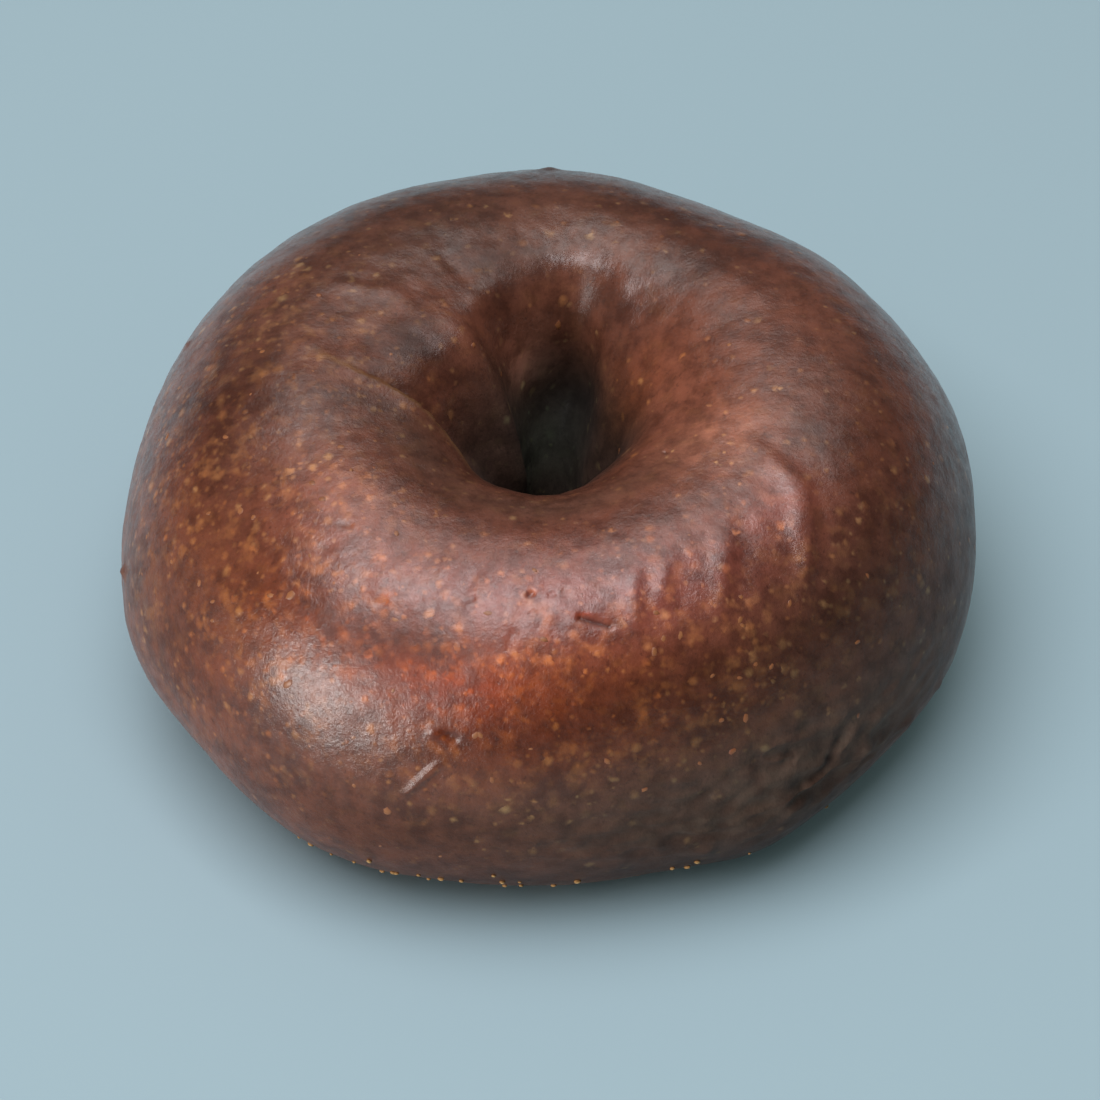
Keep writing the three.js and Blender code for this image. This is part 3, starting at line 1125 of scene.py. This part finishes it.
def spots(material, place, spacing, sizes, often):
    """Soft spots of many sizes and strengths, in as large a share of the cells as often says."""
    inputs = {"Vector": place, "Scale": 1 / (FLECK_WANDER_SIZE * MM), "Detail": 2.0}
    wander = add_node(material, "ShaderNodeTexNoise", inputs)
    offset = vector_node(material, "SUBTRACT", wander.outputs["Color"], (0.5, 0.5, 0.5))
    offset = vector_node(material, "SCALE", offset, FLECK_WANDER * spacing * MM)
    shifted = vector_node(material, "ADD", place, offset)
    cells = add_node(material, "ShaderNodeTexVoronoi", {"Vector": shifted, "Scale": 1 / (spacing * MM)})
    random = add_node(material, "ShaderNodeSeparateColor", {0: cells.outputs["Color"]}).outputs
    radius = range_node(material, random[0], 0.0, 1.0, *sizes, "LINEAR")
    inside = range_node(material, cells.outputs["Distance"], radius, scaled(material, radius, 0.05))
    strength = range_node(material, random[1], often, 0.0, 0.0, 1.0, "LINEAR")
    return math_node(material, "MULTIPLY", inside, strength), random[2]


def crust_colour(material, place, grain):
    """Mottled brown, thick with soft paler flecks of grain, with painted shade in slits and pits and a
    painted highlight on the fold's edge, times the tints and painted light; and the flecks' own height.
    """
    patches = noise_node(material, place, 8.0, 3.0, 0.6)
    mottle = noise_node(material, place, 2.4, 2.0, 0.5)
    streaks = noise_node(material, grain, 1.3, 2.0, 0.5)
    speckle = noise_node(material, place, 0.45, 1.0, 0.5)
    share = weighted_sum(material, [(patches, 0.33), (mottle, 0.42), (streaks, 0.13), (speckle, 0.12)])
    share = range_node(material, share, 0.37, 0.63)
    colour = mix_node(material, share, DARK_CRUST, PALE_CRUST)

    pores = islands(material, place, 0.8, 0.38, 0.30)
    colour = mix_node(material, scaled(material, pores, 0.35), colour, PORE)
    flecked_here = attribute(material, "flecked")
    clusters = range_node(material, noise_node(material, place, 5.0, 2.0), 0.38, 0.62, 0.35, 1.0)
    often = math_node(material, "MULTIPLY", flecked_here, clusters)
    haze = range_node(material, noise_node(material, place, 1.9, 2.0, 0.5), 0.46, 0.74)
    haze = scaled(material, math_node(material, "MULTIPLY", haze, often), 0.6)
    colour = mix_node(material, haze, colour, FLECK_HAZE)
    flecks = []
    for spacing, sizes, strength in FLECKS:
        inside, shade = spots(material, place, spacing, sizes, often)
        fleck = mix_node(material, shade, RED_FLECK, YELLOW_FLECK)
        colour = mix_node(material, scaled(material, inside, strength), colour, fleck)
        flecks.append((inside, strength))

    # painted highlight along the fold's edge
    fold_edge_highlight = attribute(material, "fold_edge_highlight")
    colour = mix_node(material, scaled(material, fold_edge_highlight, 0.75), colour, FOLD_EDGE_HIGHLIGHT)
    rough = attribute(material, "rough")
    crumbs = range_node(material, noise_node(material, place, 2.6, 3.0, 0.6), 0.36, 0.64)
    crumbs = mix_node(material, crumbs, DARK_CRUMB, PALE_CRUMB)
    colour = mix_node(material, scaled(material, rough, 0.6), colour, crumbs)
    # painted shade, darker the deeper a slit or pit is
    pit_shade = attribute(material, "pit_shade")
    colour = mix_node(material, scaled(material, pit_shade, 0.8), colour, PIT_SHADE)
    tint_with_painted_light = attribute(material, "tint_and_painted_light", "Vector")
    return vector_node(material, "MULTIPLY", colour, tint_with_painted_light), weighted_sum(material, flecks)


def crust_material():
    material = new_material("crust")
    place = add_node(material, "ShaderNodeTexCoord").outputs["Object"]
    grain = attribute(material, "grain", "Vector")
    colour, flecks = crust_colour(material, place, grain)

    uneven = noise_node(material, place, 3.0, 3.0, 0.6)
    roughness = range_node(material, uneven, 0.3, 0.7, SMOOTHEST, ROUGHEST, "LINEAR")
    roughness = mix_value(material, attribute(material, "rough"), roughness, ROUGHNESS_IF_ROUGH)
    roughness = mix_value(material, attribute(material, "deep"), roughness, ROUGHNESS_IN_HOLE)
    peel = noise_node(material, place, 0.5, 4.0, 0.7)
    streaks = noise_node(material, grain, 0.6, 2.0, 0.5)
    height = weighted_sum(material, [(peel, 1.0), (streaks, 0.45), (flecks, 0.3)])
    height = math_node(material, "MULTIPLY", height, attribute(material, "peel"))
    spotted = noise_node(material, place, 1.1, 3.0, 0.6)
    streaked = noise_node(material, grain, 1.0, 2.0)
    mottled = weighted_sum(material, [(spotted, 0.6), (streaked, 0.4)])
    mottled = range_node(material, mottled, 0.38, 0.62, THIN_GLAZE, THICK_GLAZE)
    glaze = math_node(material, "MULTIPLY", attribute(material, "gloss"), mottled)
    glaze = math_node(material, "MINIMUM", glaze, 1.0)
    bump = bump_node(material, height, BUMP_STRENGTH, BUMP_DEPTH)
    inputs = {
        "Base Color": colour,
        "Roughness": roughness,
        "Normal": bump,
        "IOR": BREAD_IOR,
        "Specular IOR Level": SPECULAR,
        "Coat Weight": glaze,
        "Coat Roughness": GLAZE_ROUGHNESS,
        "Coat Normal": bump,
    }
    return with_shader(material, inputs)


def grain_material(name, foot, dull, bright, glaze):
    """Grains whose colours run from dull to bright, and at their foot into the crust's."""
    material = new_material(name)
    place = add_node(material, "ShaderNodeTexCoord").outputs["Object"]
    shade = attribute(material, "shade")
    mottle = noise_node(material, place, 0.4, 2.0)
    share = math_node(material, "MULTIPLY", math_node(material, "ADD", shade, mottle), 0.6)
    colour = mix_node(material, share, dull, bright)
    colour = mix_node(material, attribute(material, "top"), foot, colour)
    bump = bump_node(material, mottle, GRAIN_BUMP_STRENGTH, GRAIN_BUMP_DEPTH)
    inputs = {
        "Base Color": colour,
        "Roughness": GRAIN_ROUGHNESS,
        "Specular IOR Level": SPECULAR,
        "Normal": bump,
        "Coat Weight": glaze,
        "Coat Roughness": GRAIN_GLAZE_ROUGHNESS,
    }
    return with_shader(material, inputs)


def floor_material():
    inputs = {"Base Color": FLOOR_COLOUR, "Roughness": FLOOR_ROUGHNESS, "Specular IOR Level": SPECULAR}
    return with_shader(new_material("floor"), inputs)


def make_floor():
    mesh = bpy.data.meshes.new("floor")
    reach = FLOOR_REACH
    corners = [(-reach, -reach, 0), (reach, -reach, 0), (reach, reach, 0), (-reach, reach, 0)]
    mesh.from_pydata(corners, [], [(0, 1, 2, 3)])
    floor = bpy.data.objects.new("floor", mesh)
    bpy.context.scene.collection.objects.link(floor)
    mesh.materials.append(floor_material())
    return floor


WARM_WHITE = (1.0, 0.98, 0.96)

# Soft boxes: name, place in metres, width, depth, radiance, colour, and what they light
PANELS = [
    ("overhead", (-0.14, -0.08, 1.0), 0.5, 0.62, 7.2, (1.0, 0.95, 0.965), "bread"),
    ("overhead_floor", (-0.20, -0.20, 1.0), 0.9, 0.9, 4.3, (1.0, 0.955, 0.965), "floor"),
    ("wide_floor", (0.0, -0.2, 1.0), 4.0, 4.0, 0.33, (0.85, 1.0, 0.88), "floor"),
    ("overhead_back", (0.08, 0.55, 1.0), 1.0, 0.55, 2.2, WARM_WHITE, "bread"),
    ("front_left", (-0.85, -0.82, 0.30), 0.6, 0.36, 18.0, WARM_WHITE, "bread"),
    ("front_left_high", (-0.7, -1.0, 1.0), 0.8, 0.4, 4.0, WARM_WHITE, "bread"),
]
SURROUNDINGS_COLOUR = (0.80, 0.88, 0.95, 1)
SURROUNDINGS_STRENGTH = 0.03


def add_panel(name, place, width, depth, radiance, colour):
    """A soft box at a place in metres, facing the bagel."""
    light = bpy.data.lights.new(name, "AREA")
    light.shape = "RECTANGLE"
    light.size = width
    light.size_y = depth
    light.energy = math.pi * width * depth * radiance
    light.color = colour
    lamp = bpy.data.objects.new(name, light)
    lamp.location = place
    lamp.rotation_euler = Vector(place).to_track_quat("Z", "Y").to_euler()
    bpy.context.scene.collection.objects.link(lamp)


def light_scene():
    for *panel, _ in PANELS:
        add_panel(*panel)
    world = bpy.data.worlds.new("surroundings")
    world.use_nodes = True
    background = world.node_tree.nodes["Background"]
    background.inputs["Color"].default_value = SURROUNDINGS_COLOUR
    background.inputs["Strength"].default_value = SURROUNDINGS_STRENGTH
    bpy.context.scene.world = world
    bpy.context.scene.view_settings.view_transform = "Standard"


def light_only(name, pieces):
    """Keep a panel's light to some of the pieces."""
    receivers = bpy.data.collections.new(name + "_receivers")
    for piece in pieces:
        receivers.objects.link(piece)
    bpy.data.objects[name].light_linking.receiver_collection = receivers


def place_camera():
    data = bpy.data.cameras.new("camera")
    data.lens = LENS
    data.sensor_width = SENSOR_WIDTH
    data.clip_start = CLIP_START
    camera = bpy.data.objects.new("camera", data)
    target = Vector(CAMERA_TARGET) * MM
    elevation = math.radians(CAMERA_ELEVATION)
    back = Vector((0, -math.cos(elevation), math.sin(elevation)))
    camera.location = target + back * CAMERA_DISTANCE * MM
    camera.rotation_euler = back.to_track_quat("Z", "Y").to_euler()
    bpy.context.scene.collection.objects.link(camera)
    bpy.context.scene.camera = camera


place_camera()
light_scene()
floor = make_floor()

crust = make_crust()
crust.data.materials.append(crust_material())
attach(crust, "root")
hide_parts("bagel")

draw = np.random.default_rng(SEED)
bran = make_bran(draw)
bran.data.materials.append(grain_material("bran", *BRAN_COLOURS, BRAN_GLAZE))
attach(bran, "root")

semolina = make_semolina(draw)
semolina.data.materials.append(grain_material("semolina", *SEMOLINA_COLOURS, SEMOLINA_GLAZE))
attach(semolina, "root")

lit = {"bread": [crust, bran, semolina], "floor": [floor]}
for name, *_, receiver in PANELS:
    light_only(name, lit[receiver])
